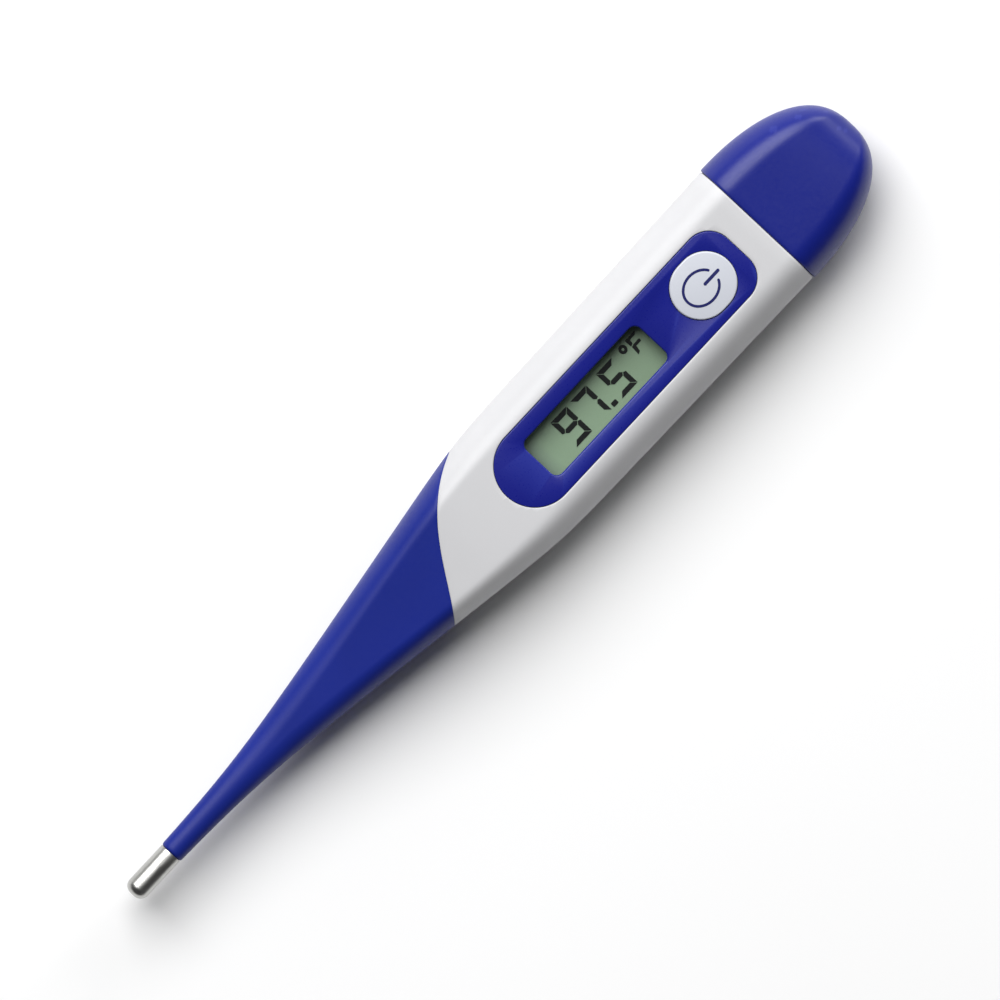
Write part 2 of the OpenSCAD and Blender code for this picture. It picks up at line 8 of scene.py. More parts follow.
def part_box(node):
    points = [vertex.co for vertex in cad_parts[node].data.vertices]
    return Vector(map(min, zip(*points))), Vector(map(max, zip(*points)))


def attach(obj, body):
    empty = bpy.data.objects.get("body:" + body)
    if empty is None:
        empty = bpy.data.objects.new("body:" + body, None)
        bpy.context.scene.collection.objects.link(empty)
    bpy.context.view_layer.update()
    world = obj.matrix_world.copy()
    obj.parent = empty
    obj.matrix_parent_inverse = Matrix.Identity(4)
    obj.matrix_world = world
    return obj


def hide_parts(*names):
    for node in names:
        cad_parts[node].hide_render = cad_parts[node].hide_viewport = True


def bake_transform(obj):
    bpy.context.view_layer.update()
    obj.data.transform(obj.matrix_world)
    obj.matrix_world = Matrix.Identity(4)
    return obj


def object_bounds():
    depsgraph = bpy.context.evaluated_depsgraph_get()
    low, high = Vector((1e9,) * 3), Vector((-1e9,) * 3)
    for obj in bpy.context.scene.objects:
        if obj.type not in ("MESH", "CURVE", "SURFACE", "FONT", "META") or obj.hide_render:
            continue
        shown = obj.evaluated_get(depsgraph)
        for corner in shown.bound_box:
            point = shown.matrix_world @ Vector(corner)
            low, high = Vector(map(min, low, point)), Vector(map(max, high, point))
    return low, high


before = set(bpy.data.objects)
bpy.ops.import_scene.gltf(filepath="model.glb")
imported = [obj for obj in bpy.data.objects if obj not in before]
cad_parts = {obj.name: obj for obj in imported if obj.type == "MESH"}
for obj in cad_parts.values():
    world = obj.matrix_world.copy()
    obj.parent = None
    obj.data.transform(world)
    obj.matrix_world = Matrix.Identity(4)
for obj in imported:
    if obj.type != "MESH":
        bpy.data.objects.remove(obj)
cad_low, cad_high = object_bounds()

# ---------------------------------------------------------------- sizes
# Lengths are millimetres, and s is the distance from the probe tip along the pen.
MM = 0.001
TIP_X = cad_low.x / MM
LENGTH = (cad_high.x - cad_low.x) / MM


def span(node, axis):
    """Lowest and highest place of a CAD node along one axis: along the pen from the tip, or across, or up."""
    low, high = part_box(node)
    shift = TIP_X if axis == 0 else 0.0
    return low[axis] / MM - shift, high[axis] / MM - shift


THICKNESS = span("housing_shell", 2)[1]
MID_Z = THICKNESS / 2
HALF_FLAT = 5.2
TIP_D = 3.0
TIP_LENGTH = span("sleeve_collar", 0)[0]
NECK_R = 1.1
NECK_END_S = TIP_LENGTH + 2.6
TAPER_S, TAPER_BLEND = 19.6, 5.2
SHOULDER_S, SHOULDER_BLEND = 68.5, 2.2
THICK_SHOULDER_S = 61.0
HANDLE_WIDTH = 17.0
SIDE_DRAFT = 0.019
PARTING_GAP = 0.05
CAP_S = span("housing_shell", 0)[1] + PARTING_GAP
CAP_STEP = 0.15
FLAT_FROM, FLAT_TO = 20.0, 68.0
CAP_WIDTH_POWER = (2.2, 2.5)
CAP_THICK_POWER = (4.5, 2.5)
FOOT_HEIGHT = 0.3
FOOT_ROOT = 0.5
FOOT_S = (66.5, CAP_S - 0.3)
FOOT_R = 0.5
WIDTH_SLOPE = (HANDLE_WIDTH - TIP_D) / (SHOULDER_S - TAPER_S)
THICK_SLOPE = (THICKNESS - TIP_D) / (THICK_SHOULDER_S - TAPER_S)

SKIN = 1.2
SKIN_EDGE = ((51.5, -6.3), (56.0, -0.7), (58.9, 6.9), (67.6, 8.95))
CORE_S = span("housing_shell", 0)[0]
LEAD_BORE_R = 0.65
SEAM_S = (24.0, 16.25)

PANEL_S = span("display_panel", 0)
PANEL_R = span("display_panel", 1)[1]
PANEL_CORNER_R = 3.3
PANEL_Z = span("display_panel", 2)[0]
WINDOW_S = 83.45
WINDOW_SIZE = (20.5, 6.1)
WINDOW_R = 1.0
LENS_BORDER = 0.55

KEY_S = sum(span("power_key", 0)) / 2
KEY_SIZE = (8.7, 7.8)
KEY_TOP = span("power_key", 2)[1]
PLUNGER_Z = span("power_key", 2)[0]
FLANGE_SIZE = (9.6, 8.8)
FLANGE_Z = (9.3, 9.78)
PLUNGER_R = 1.5
OPENING_SIZE = (10.1, 9.3)

BAY_S = 69.5
BAY_SIZE = (15.4, 8.2)
BAY_MID_Z = 5.4
BAY_R = 2.5
CHAMBER_S = 62.5
CHAMBER_SIZE = (11.2, 4.4)
SPIGOT_S = span("battery_cap", 0)[0]
SPIGOT_GAP = 0.15
SPIGOT_R = 2.35
ROOM_S = 123.4
RING_S = span("cap_seal_ring", 0)

FILM_TOP = span("lcd_polariser", 2)[1]
RING_POINTS = 144


# ---------------------------------------------------------------- profile of the pen
def softramp(x, blend):
    return blend * np.logaddexp(0, x / blend)


def climb(s, end_s):
    return softramp(s - TAPER_S, TAPER_BLEND) - softramp(s - end_s, SHOULDER_BLEND)


def rounding(s, power):
    u = np.clip((s - CAP_S) / (LENGTH - CAP_S), 0, 1)
    return (1 - u ** power[0]) ** (1 / power[1])


def handle_half(s):
    return (TIP_D + WIDTH_SLOPE * climb(s, SHOULDER_S) + SIDE_DRAFT * (s - TIP_LENGTH)) / 2


def half_width(s):
    if s <= CAP_S:
        return handle_half(s)
    return (handle_half(CAP_S) + CAP_STEP) * rounding(s, CAP_WIDTH_POWER)


def half_thick(s):
    return (TIP_D + THICK_SLOPE * climb(s, THICK_SHOULDER_S)) / 2 * rounding(s, CAP_THICK_POWER)


def smoothstep(s, low, high):
    t = np.clip((s - low) / (high - low), 0, 1)
    return t * t * (3 - 2 * t)


def half_flat(s):
    return HALF_FLAT * smoothstep(s, FLAT_FROM, FLAT_TO) * rounding(s, CAP_WIDTH_POWER)


def back_share(s):
    """The back lies higher than a mirror image of the front by the height of the foot."""
    return 1 - FOOT_HEIGHT / MID_Z * smoothstep(s, FLAT_FROM, THICK_SHOULDER_S)


def evened(points, count=RING_POINTS):
    """A closed outline cut into equal steps, starting at its first point."""
    closed = np.vstack([points, points[:1]])
    steps = np.hypot(*np.diff(closed, axis=0).T)
    reach = np.concatenate([[0], np.cumsum(steps)])
    want = np.arange(count) * reach[-1] / count
    return np.column_stack([np.interp(want, reach, closed[:, k]) for k in (0, 1)])


def pen_section(s, inset=0.0):
    """Across and up from the middle of the pen: flats above and below, and half ellipses at the sides."""
    w = half_width(s) - inset
    h = half_thick(s) - inset
    f = min(half_flat(s), max(w - 0.3, 0.0))
    a = np.radians(np.arange(0, 360, 0.75))
    side = np.where(np.cos(a) >= 0, 1, -1)
    share = np.where(np.sin(a) >= 0, 1, back_share(s))
    return evened(np.column_stack([side * f + (w - f) * np.cos(a), MID_Z + share * h * np.sin(a)]))


def bar_section(width, height, r, z=BAY_MID_Z):
    """A rectangle with round corners, starting at its +Y side."""
    points = [(width / 2, z)]
    for quarter, (sy, sz) in enumerate(((1, 1), (-1, 1), (-1, -1), (1, -1))):
        for a in np.radians(90 * quarter + np.linspace(0, 90, 25)):
            across = sy * (width / 2 - r) + r * math.cos(a)
            points.append((across, z + sz * (height / 2 - r) + r * math.sin(a)))
    return evened(np.array(points))


def round_section(r, z=MID_Z):
    a = np.arange(RING_POINTS) * 2 * math.pi / RING_POINTS
    return np.column_stack([r * np.cos(a), z + r * np.sin(a)])


def ring(s, section):
    """A section placed at s, or at one s for each of its points."""
    return np.column_stack([np.broadcast_to(s, len(section)), section])


def pen_ring(s, inset=0.0):
    return ring(s, pen_section(s, inset))


# ---------------------------------------------------------------- mesh helpers
SHARP_ANGLE = 35.0


def to_frame(points):
    """Points given as (s, across, up) in millimetres, as places in the frame in metres."""
    moved = np.array(points, float)
    moved[:, 0] += TIP_X
    return moved * MM


def make_object(name, points, faces, material):
    mesh = bpy.data.meshes.new(name)
    mesh.from_pydata([tuple(p) for p in to_frame(points)], [], faces)
    mesh.validate()
    cleaned = bmesh.new()
    cleaned.from_mesh(mesh)
    bmesh.ops.remove_doubles(cleaned, verts=cleaned.verts, dist=1e-7)
    bmesh.ops.recalc_face_normals(cleaned, faces=cleaned.faces)
    cleaned.to_mesh(mesh)
    cleaned.free()
    made = bpy.data.objects.new(name, mesh)
    bpy.context.scene.collection.objects.link(made)
    if material is not None:
        mesh.materials.append(material)
    smooth(made)
    return made


def smooth(made):
    made.data.shade_smooth()
    made.data.set_sharp_from_angle(angle=math.radians(SHARP_ANGLE))


def chain(rings, loop=False):
    """Points and faces of a skin over rings of equal length. A loop joins its last ring to the
    first, and an open chain is closed by a face at each end."""
    n = len(rings[0])
    count = len(rings)
    faces = []
    for k in range(count if loop else count - 1):
        a, b = k * n, ((k + 1) % count) * n
        for i in range(n):
            j = (i + 1) % n
            faces.append((a + i, b + i, b + j, a + j))
    if not loop:
        faces.append(tuple(range(n)))
        faces.append(tuple(range((count - 1) * n, count * n))[::-1])
    return np.vstack(rings), faces


def joined(shapes):
    """Several pairs of points and faces as one pair."""
    points, faces = [], []
    for more, more_faces in shapes:
        shift = len(points)
        points += [tuple(p) for p in more]
        faces += [tuple(v + shift for v in face) for face in more_faces]
    return points, faces


def slab(top, bottom):
    """Points and faces of a thin body between an outline and the same outline lower down."""
    n = len(top)
    faces = [tuple(range(n)), tuple(range(2 * n - 1, n - 1, -1))]
    faces += [(i, n + i, n + (i + 1) % n, (i + 1) % n) for i in range(n)]
    return np.vstack([top, bottom]), faces


def skin(name, rings, material, loop=False):
    points, faces = chain(rings, loop)
    return make_object(name, points, faces, material)


def lathe(name, profile, material, loop=False):
    """A turned piece about the middle line of the pen, from (s, radius) pairs."""
    return skin(name, [ring(s, round_section(max(r, 0.0005))) for s, r in profile], material, loop)


def carve(piece, cutters, added=()):
    """Joins each added body to the piece, cuts each cutter out of it, and removes them all."""
    for cutter in [*added, *cutters]:
        cut = piece.modifiers.new("cut", "BOOLEAN")
        cut.operation = "UNION" if cutter in added else "DIFFERENCE"
        cut.solver = "EXACT"
        cut.object = cutter
    bpy.context.view_layer.update()
    depsgraph = bpy.context.evaluated_depsgraph_get()
    carved = bpy.data.meshes.new_from_object(piece.evaluated_get(depsgraph))
    piece.modifiers.clear()
    piece.data = carved
    for cutter in [*added, *cutters]:
        bpy.data.objects.remove(cutter)
    smooth(piece)


# ---------------------------------------------------------------- outlines seen from above
def arc(centre, r, start, end, steps):
    return [(centre[0] + r * math.cos(math.radians(a)), centre[1] + r * math.sin(math.radians(a)))
            for a in np.linspace(start, end, steps + 1)]


def panel_outline(grow=0.0):
    r = PANEL_R + grow
    corner = PANEL_CORNER_R + grow
    front = PANEL_S[0] + PANEL_R
    rear = PANEL_S[1] - PANEL_CORNER_R
    y = PANEL_R - PANEL_CORNER_R
    return (arc((rear, y), corner, 0, 90, 12) + arc((front, 0), r, 90, 270, 40)
            + arc((rear, -y), corner, 270, 360, 12))


def round_box(s_ends, y_ends, r, steps):
    """A rectangle with round corners, whose centres lie at the ends given along and across."""
    corners = (((s_ends[1], y_ends[1]), 0), ((s_ends[0], y_ends[1]), 90),
               ((s_ends[0], y_ends[0]), 180), ((s_ends[1], y_ends[0]), 270))
    return [p for centre, a in corners for p in arc(centre, r, a, a + 90, steps)]


def foot_outline(grow=0.0):
    y = HALF_FLAT - FOOT_R
    return round_box((FOOT_S[0] + FOOT_R, FOOT_S[1] - FOOT_R), (-y, y), FOOT_R + grow, 6)


def window_outline(grow=0.0):
    r = max(WINDOW_R + grow, 0.05)
    x, y = WINDOW_SIZE[0] / 2 + grow - r, WINDOW_SIZE[1] / 2 + grow - r
    return round_box((WINDOW_S - x, WINDOW_S + x), (-y, y), r, 8)


def oval_outline(size, grow=0.0, steps=28):
    r = size[1] / 2 + grow
    shift = (size[0] - size[1]) / 2
    return arc((KEY_S + shift, 0), r, -90, 90, steps) + arc((KEY_S - shift, 0), r, 90, 270, steps)


def level(outline, z):
    return np.array([(s, y, z) for s, y in outline])


def prism(name, layers, material=None):
    """A closed body through outlines of equal length stacked in height."""
    return skin(name, [level(outline, z) for outline, z in layers], material)


# ---------------------------------------------------------------- camera
VIEW_ROLL = 47.0
VIEW_TILT = 3.2
VIEW_WIDTH = 123.3
AIM_S = 66.5
LENS = 700.0
SENSOR = 36.0


def make_camera():
    roll, tilt = math.radians(VIEW_ROLL), math.radians(VIEW_TILT)
    along = Vector((1, 0, 0))
    across = Vector((0, math.cos(tilt), -math.sin(tilt)))
    right = math.cos(roll) * along - math.sin(roll) * across
    up = math.sin(roll) * along + math.cos(roll) * across
    back = right.cross(up)
    distance = VIEW_WIDTH / 2 / (SENSOR / 2 / LENS) * MM
    aim = Vector(((AIM_S + TIP_X) * MM, 0, MID_Z * MM))
    data = bpy.data.cameras.new("camera")
    data.lens = LENS
    data.sensor_width = SENSOR
    data.clip_start = 0.01
    data.clip_end = 10
    camera = bpy.data.objects.new("camera", data)
    bpy.context.scene.collection.objects.link(camera)
    turn = Matrix((right, up, back)).transposed().to_4x4()
    camera.matrix_world = Matrix.Translation(aim + back * distance) @ turn
    bpy.context.scene.camera = camera


make_camera()


# ---------------------------------------------------------------- materials
WHITE = (0.565, 0.565, 0.578)
KEY_WHITE = (0.555, 0.575, 0.63)
SKIN_BLUE = (0.008, 0.019, 0.215)
CAP_BLUE = (0.005, 0.012, 0.195)
PANEL_BLUE = (0.008, 0.012, 0.20)
FILM_GREEN = (0.205, 0.30, 0.195)
FILM_DULL = (0.205, 0.30, 0.19)
# Colour and width of a painted shadow on the display film, at its end by the probe.
FILM_SHADOW_COLOUR = (0.055, 0.065, 0.085)
FILM_SHADOW_WIDTH = 1.9


def new_material(name):
    made = bpy.data.materials.new(name)
    made.use_nodes = True
    tree = made.node_tree
    return made, tree, tree.nodes["Principled BSDF"]


def link(tree, a, b):
    tree.links.new(a, b)


def place_node(tree, stretch=(1, 1, 1)):
    """Place on the piece, stretched for a grain that runs one way."""
    place = tree.nodes.new("ShaderNodeTexCoord")
    mapping = tree.nodes.new("ShaderNodeMapping")
    mapping.inputs["Scale"].default_value = stretch
    link(tree, place.outputs["Object"], mapping.inputs["Vector"])
    return mapping.outputs["Vector"]


def noise_node(tree, place, scale, detail=3.0, rough=0.55):
    made = tree.nodes.new("ShaderNodeTexNoise")
    made.inputs["Scale"].default_value = scale
    made.inputs["Detail"].default_value = detail
    made.inputs["Roughness"].default_value = rough
    link(tree, place, made.inputs["Vector"])
    return made.outputs["Fac"]


def ramp_node(tree, value, stops):
    made = tree.nodes.new("ShaderNodeValToRGB")
    ramp = made.color_ramp
    while len(ramp.elements) < len(stops):
        ramp.elements.new(0.5)
    for element, (at, colour) in zip(ramp.elements, stops):
        element.position = at
        element.color = (*colour, 1)
    link(tree, value, made.inputs["Fac"])
    return made.outputs["Color"]


def range_node(tree, value, low, high, from_low=0.3, from_high=0.7):
    made = tree.nodes.new("ShaderNodeMapRange")
    made.inputs["From Min"].default_value = from_low
    made.inputs["From Max"].default_value = from_high
    made.inputs["To Min"].default_value = low
    made.inputs["To Max"].default_value = high
    link(tree, value, made.inputs["Value"])
    return made.outputs["Result"]


def mix_node(tree, factor, a, b):
    made = tree.nodes.new("ShaderNodeMix")
    made.data_type = "RGBA"
    for name, value in (("Factor", factor), ("A", a), ("B", b)):
        kind = "VALUE" if name == "Factor" else "RGBA"
        socket = next(s for s in made.inputs if s.name == name and s.type == kind)
        if isinstance(value, bpy.types.NodeSocket):
            link(tree, value, socket)
        else:
            socket.default_value = value if name == "Factor" else (*value, 1)
    return next(s for s in made.outputs if s.type == "RGBA")


def bump_node(tree, height, strength, distance):
    made = tree.nodes.new("ShaderNodeBump")
    made.inputs["Strength"].default_value = strength
    made.inputs["Distance"].default_value = distance
    link(tree, height, made.inputs["Height"])
    return made.outputs["Normal"]


def shade(colour, by):
    return tuple(min(c * by, 1.0) for c in colour)


def surface(name, colour, rough, grain=2500.0, vary=0.05, patch=90.0, bump=0.15, depth=0.00002,
            worn=None, stretch=(1, 1, 1), rough_vary=0.06, metallic=0.0, **sockets):
    """A finished surface: slow colour patches, a fine grain in roughness and height, and worn edges."""
    made, tree, shader = new_material(name)
    place = place_node(tree, stretch)
    slow = noise_node(tree, place, patch, 2.0)
    fine = noise_node(tree, place, grain, 4.0, 0.6)
    tint = ramp_node(tree, slow, [(0.3, shade(colour, 1 - vary)), (0.7, shade(colour, 1 + vary))])
    if worn is not None:
        geometry = tree.nodes.new("ShaderNodeNewGeometry")
        edge = range_node(tree, geometry.outputs["Pointiness"], 0.0, 0.6, 0.52, 0.6)
        tint = mix_node(tree, edge, tint, worn)
    link(tree, tint, shader.inputs["Base Color"])
    link(tree, range_node(tree, fine, rough - rough_vary, rough + rough_vary), shader.inputs["Roughness"])
    link(tree, bump_node(tree, fine, bump, depth), shader.inputs["Normal"])
    shader.inputs["Metallic"].default_value = metallic
    for socket, value in sockets.items():
        shader.inputs[socket.replace("_", " ")].default_value = value
    return made


def film_material():
    """The reflecting film of the display: fine grain, and a painted shadow that dims the film at the end by
    the lens edge.
    """
    made, tree, shader = new_material("lcd_film")
    place = place_node(tree)
    fine = noise_node(tree, place, 5000.0, 3.0)
    slow = noise_node(tree, place, 160.0, 2.0)
    base = ramp_node(tree, slow, [(0.25, FILM_GREEN), (0.75, FILM_DULL)])
    split = tree.nodes.new("ShaderNodeSeparateXYZ")
    link(tree, place, split.inputs["Vector"])
    start = (WINDOW_S - WINDOW_SIZE[0] / 2 + TIP_X) * MM
    # Painted shadow: the film is painted darker over the last stretch at the window's end by the probe.
    painted_shadow = range_node(tree, split.outputs["X"], 0.45, 0.0, start, start + FILM_SHADOW_WIDTH * MM)
    tint = mix_node(tree, painted_shadow, base, FILM_SHADOW_COLOUR)
    link(tree, tint, shader.inputs["Base Color"])
    link(tree, range_node(tree, fine, 0.35, 0.5), shader.inputs["Roughness"])
    link(tree, bump_node(tree, fine, 0.1, 0.00001), shader.inputs["Normal"])
    return made


def clear_material(name, colour, alpha, rough):
    """Clear plastic or glass: the little that it shows is its sheen and faint haze."""
    made, tree, shader = new_material(name)
    place = place_node(tree)
    haze = noise_node(tree, place, 900.0, 3.0)
    tint = ramp_node(tree, haze, [(0.3, shade(colour, 0.95)), (0.7, colour)])
    link(tree, tint, shader.inputs["Base Color"])
    link(tree, range_node(tree, haze, rough, rough + 0.04), shader.inputs["Roughness"])
    shader.inputs["Alpha"].default_value = alpha
    shader.inputs["IOR"].default_value = 1.49
    return made


WAVE_PITCH = 0.3142


def striped_material(name, a, b, pitch):
    """Rubber with thin stripes across its length."""
    made, tree, shader = new_material(name)
    place = place_node(tree)
    wave = tree.nodes.new("ShaderNodeTexWave")
    wave.bands_direction = "X"
    wave.inputs["Scale"].default_value = WAVE_PITCH / pitch
    wave.inputs["Distortion"].default_value = 0.3
    link(tree, place, wave.inputs["Vector"])
    fine = noise_node(tree, place, 3000.0)
    link(tree, ramp_node(tree, wave.outputs["Fac"], [(0.4, a), (0.6, b)]), shader.inputs["Base Color"])
    link(tree, range_node(tree, fine, 0.6, 0.75), shader.inputs["Roughness"])
    link(tree, bump_node(tree, wave.outputs["Fac"], 0.3, 0.00003), shader.inputs["Normal"])
    return made


white_abs = surface("white_abs", WHITE, 0.42, grain=3000.0, vary=0.012, bump=0.12, worn=(0.68, 0.68, 0.69))
key_white = surface("key_white", KEY_WHITE, 0.36, grain=3500.0, vary=0.01, bump=0.08, worn=(0.65, 0.66, 0.70))
soft_blue = surface("soft_blue", SKIN_BLUE, 0.42, grain=3200.0, vary=0.05, bump=0.22,
                    Specular_IOR_Level=0.22)
cap_blue = surface("cap_blue", CAP_BLUE, 0.37, grain=3600.0, vary=0.04, bump=0.14, worn=(0.02, 0.03, 0.25),
                   Specular_IOR_Level=0.38)
panel_blue = surface("panel_blue", PANEL_BLUE, 0.30, grain=4200.0, vary=0.03, bump=0.06,
                     rough_vary=0.04, worn=(0.02, 0.032, 0.27), Specular_IOR_Level=0.3)
symbol_ink = surface("symbol_ink", (0.006, 0.009, 0.10), 0.35, grain=4000.0, vary=0.06, bump=0.05)
digit_ink = surface("digit_ink", (0.004, 0.005, 0.004), 0.6, grain=5000.0, vary=0.15, bump=0.03,
                    Specular_IOR_Level=0.05)
silicone = surface("silicone", (0.50, 0.51, 0.53), 0.55, vary=0.03, Subsurface_Weight=0.1)
foam = surface("foam", (0.03, 0.03, 0.033), 0.85, grain=6000.0, vary=0.2, bump=0.5, depth=0.00004)
tray_plastic = surface("tray_plastic", (0.62, 0.63, 0.62), 0.48, vary=0.02, worn=(0.7, 0.7, 0.7))
frame_plastic = surface("frame_plastic", (0.10, 0.115, 0.20), 0.5, vary=0.04)
board_green = surface("board_green", (0.012, 0.11, 0.04), 0.33, grain=1800.0, vary=0.25, patch=700.0,
                      bump=0.1)
resin_black = surface("resin_black", (0.012, 0.012, 0.013), 0.22, grain=900.0, vary=0.3, bump=0.1)
chip_dark = surface("chip_dark", (0.025, 0.025, 0.027), 0.5, vary=0.15)
chip_tan = surface("chip_tan", (0.33, 0.22, 0.12), 0.5, vary=0.1)
switch_black = surface("switch_black", (0.025, 0.025, 0.027), 0.42, vary=0.1)
varnish = surface("varnish", (0.42, 0.11, 0.03), 0.25, vary=0.15, bump=0.08)
potting = surface("potting", (0.55, 0.47, 0.28), 0.35, vary=0.12)
ceramic = surface("ceramic", (0.74, 0.73, 0.68), 0.5, vary=0.05)
steel = surface("steel", (0.52, 0.52, 0.50), 0.36, grain=900.0, vary=0.06, patch=500.0, bump=0.1,
                depth=0.00001, stretch=(0.15, 1, 1), metallic=1.0, Anisotropic=0.35)
cell_steel = surface("cell_steel", (0.62, 0.62, 0.61), 0.28, grain=1500.0, vary=0.06, metallic=1.0)
spring_steel = surface("spring_steel", (0.58, 0.58, 0.57), 0.3, vary=0.05, metallic=1.0)
solder = surface("solder", (0.66, 0.66, 0.66), 0.25, grain=1200.0, bump=0.5, metallic=1.0)
foil = surface("foil", (0.72, 0.73, 0.71), 0.35, vary=0.05, metallic=1.0)
brass = surface("brass", (0.70, 0.48, 0.17), 0.3, vary=0.1, metallic=1.0)
gold = surface("gold", (0.83, 0.62, 0.24), 0.26, vary=0.06, metallic=1.0)
zebra = striped_material("zebra", (0.55, 0.26, 0.28), (0.03, 0.03, 0.03), 0.0004)
lens_clear = clear_material("lens_clear", (0.25, 0.27, 0.28), 0.02, 0.06)
lcd_glass = clear_material("lcd_glass", (0.75, 0.82, 0.78), 0.25, 0.08)
lcd_film = film_material()

CAD_FINISH = {
    "display_lens": lens_clear, "lens_adhesive": foam, "key_seal": silicone, "cap_seal_ring": silicone,
    "circuit_chassis": tray_plastic, "circuit_board": board_green, "lcd_frame": frame_plastic,
    "lcd_polariser": lcd_film, "lcd_front_glass": lcd_glass, "lcd_rear_glass": lcd_glass,
    "lcd_reflector": foil, "zebra_strip": zebra, "controller_chip": resin_black,
    "chip_resistors": chip_dark, "chip_capacitors": chip_tan, "lead_solder": solder,
    "switch_base": switch_black, "switch_stem": switch_black, "switch_dome": spring_steel,
    "switch_cover": spring_steel, "buzzer_disc": brass, "buzzer_ceramic": ceramic,
    "buzzer_wires": varnish, "positive_contact": gold, "negative_contact": gold,
    "cell_can": cell_steel, "cell_gasket": foam, "cell_cup": cell_steel,
    "thermistor": resin_black, "tip_potting": potting,
}


def finish_cad_nodes():
    for name, material in CAD_FINISH.items():
        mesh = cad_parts[name].data
        mesh.materials.clear()
        mesh.materials.append(material)


# ---------------------------------------------------------------- the skin's edge over the handle
EDGE_RUN_ON = 1.2


def edge_curve(y):
    """Place along the pen of the skin's edge at a distance y across, run on straight past both flanks."""
    p = np.array(SKIN_EDGE)
    t = np.linspace(0, 1, 400)[:, None]
    curve = (1 - t) ** 3 * p[0] + 3 * t * (1 - t) ** 2 * p[1] + 3 * t ** 2 * (1 - t) * p[2] + t ** 3 * p[3]
    first = p[0] - EDGE_RUN_ON * (p[1] - p[0])
    last = p[3] + EDGE_RUN_ON * (p[3] - p[2])
    curve = np.vstack([first, curve, last])
    return np.interp(y, curve[:, 1], curve[:, 0])


TABLE_S = np.arange(34.0, 78.0, 0.25)


def section_table(inset):
    return np.array([pen_section(s, inset) for s in TABLE_S])


def at_places(table, places):
    """One point of the section for each place along the pen."""
    k = np.clip((places - TABLE_S[0]) / (TABLE_S[1] - TABLE_S[0]), 0, len(TABLE_S) - 1.001)
    low = k.astype(int)
    part = (k - low)[:, None]
    i = np.arange(len(places))
    return table[low, i] * (1 - part) + table[low + 1, i] * part


def edge_places(table):
    """Where each lengthwise line of the pen's surface meets the skin's edge."""
    beyond = TABLE_S[:, None] - edge_curve(table[:, :, 0])
    first = np.argmax(beyond > 0, axis=0)
    i = np.arange(table.shape[1])
    before, after = beyond[first - 1, i], beyond[first, i]
    return TABLE_S[first - 1] + (TABLE_S[1] - TABLE_S[0]) * before / (before - after)


OUTER = section_table(0.0)
CORE = section_table(SKIN)
EDGE = edge_places(OUTER)
CORE_EDGE = edge_places(CORE)


def lofted(table, places):
    return ring(places, at_places(table, places))


def lowered(places, depth):
    """A ring just under the outer surface."""
    outer, inner = at_places(OUTER, places), at_places(CORE, places)
    return ring(places, outer + (inner - outer) * depth / SKIN)


# ---------------------------------------------------------------- sleeve
EDGE_ROUND = ((0.10, 0.0), (0.05, 0.015), (0.02, 0.045), (0.0, 0.10))


def sleeve_base_rings():
    """From the rear seam over the outside to the edge, then back along the core to the bore."""
    start = SEAM_S[0]
    rings = [pen_ring(s) for s in np.arange(start, CORE_S, 0.5)]
    end = EDGE - EDGE_ROUND[0][0]
    for t in np.linspace(0, 1, 44):
        rings.append(lofted(OUTER, CORE_S + (end - CORE_S) * t))
    rings += [lowered(EDGE - back, depth) for back, depth in EDGE_ROUND[1:]]
    for t in np.linspace(1, 0, 16):
        rings.append(lofted(CORE, CORE_S + (CORE_EDGE - CORE_S) * t))
    for s in np.arange(CORE_S, start - 0.01, -1.5):
        rings.append(ring(s, round_section(LEAD_BORE_R)))
    return rings


def sleeve_stretch_rings(front, rear):
    outside = [pen_ring(s) for s in np.linspace(front, rear, 20)]
    inside = [ring(s, round_section(LEAD_BORE_R)) for s in np.linspace(rear, front, 20)]
    return outside + inside


def sleeve_collar_rings(rear):
    lip = [(0.0, 0.34), (0.03, 0.22), (0.10, 0.10), (0.22, 0.03), (0.4, 0.0)]
    rings = [pen_ring(TIP_LENGTH + s, inset) for s, inset in lip]
    rings += [pen_ring(s) for s in np.linspace(TIP_LENGTH + 0.8, rear, 22)]
    rings += [ring(s, round_section(LEAD_BORE_R)) for s in np.linspace(rear, NECK_END_S, 14)]
    rings += [ring(s, round_section(NECK_R)) for s in np.linspace(NECK_END_S, TIP_LENGTH, 5)]
    return rings


def bend(piece):
    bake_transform(piece)


def make_sleeve():
    base = skin("sleeve_skin", sleeve_base_rings(), soft_blue, loop=True)
    bend(base)
    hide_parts("sleeve_base", "sleeve_flex_rear")
    stretch = skin("sleeve_stretch", sleeve_stretch_rings(SEAM_S[1], SEAM_S[0]), soft_blue, loop=True)
    bend(stretch)
    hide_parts("sleeve_flex_front")
    collar = skin("sleeve_front", sleeve_collar_rings(SEAM_S[1]), soft_blue, loop=True)
    bend(collar)
    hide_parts("sleeve_collar")


# ---------------------------------------------------------------- steel tip and leads
def make_probe_tip():
    nose_r, r, wall = 1.2, TIP_D / 2, 0.2
    profile = [(0.0, 0.0), (0.0, (r - nose_r) * 0.6)]
    profile += [(nose_r * (1 - math.cos(math.radians(a))), r - nose_r + nose_r * math.sin(math.radians(a)))
                for a in np.linspace(0, 90, 19)]
    profile += [(s, r) for s in np.linspace(nose_r + 0.5, TIP_LENGTH - 0.1, 10)]
    profile += [(TIP_LENGTH - 0.03, r - 0.01), (TIP_LENGTH - 0.005, r - 0.04), (TIP_LENGTH, r - 0.1)]
    profile += [(TIP_LENGTH, NECK_R), (NECK_END_S - 0.05, NECK_R), (NECK_END_S, NECK_R - 0.05)]
    floor_s = TIP_LENGTH - wall
    profile += [(NECK_END_S, NECK_R - wall), (floor_s, NECK_R - wall), (floor_s, r - wall),
                (nose_r, r - wall), (0.5, 0.9), (wall, 0.5), (wall, 0.0)]
    tip = lathe("steel_tip", profile, steel)
    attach(tip, "tip")
    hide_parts("probe_tip")


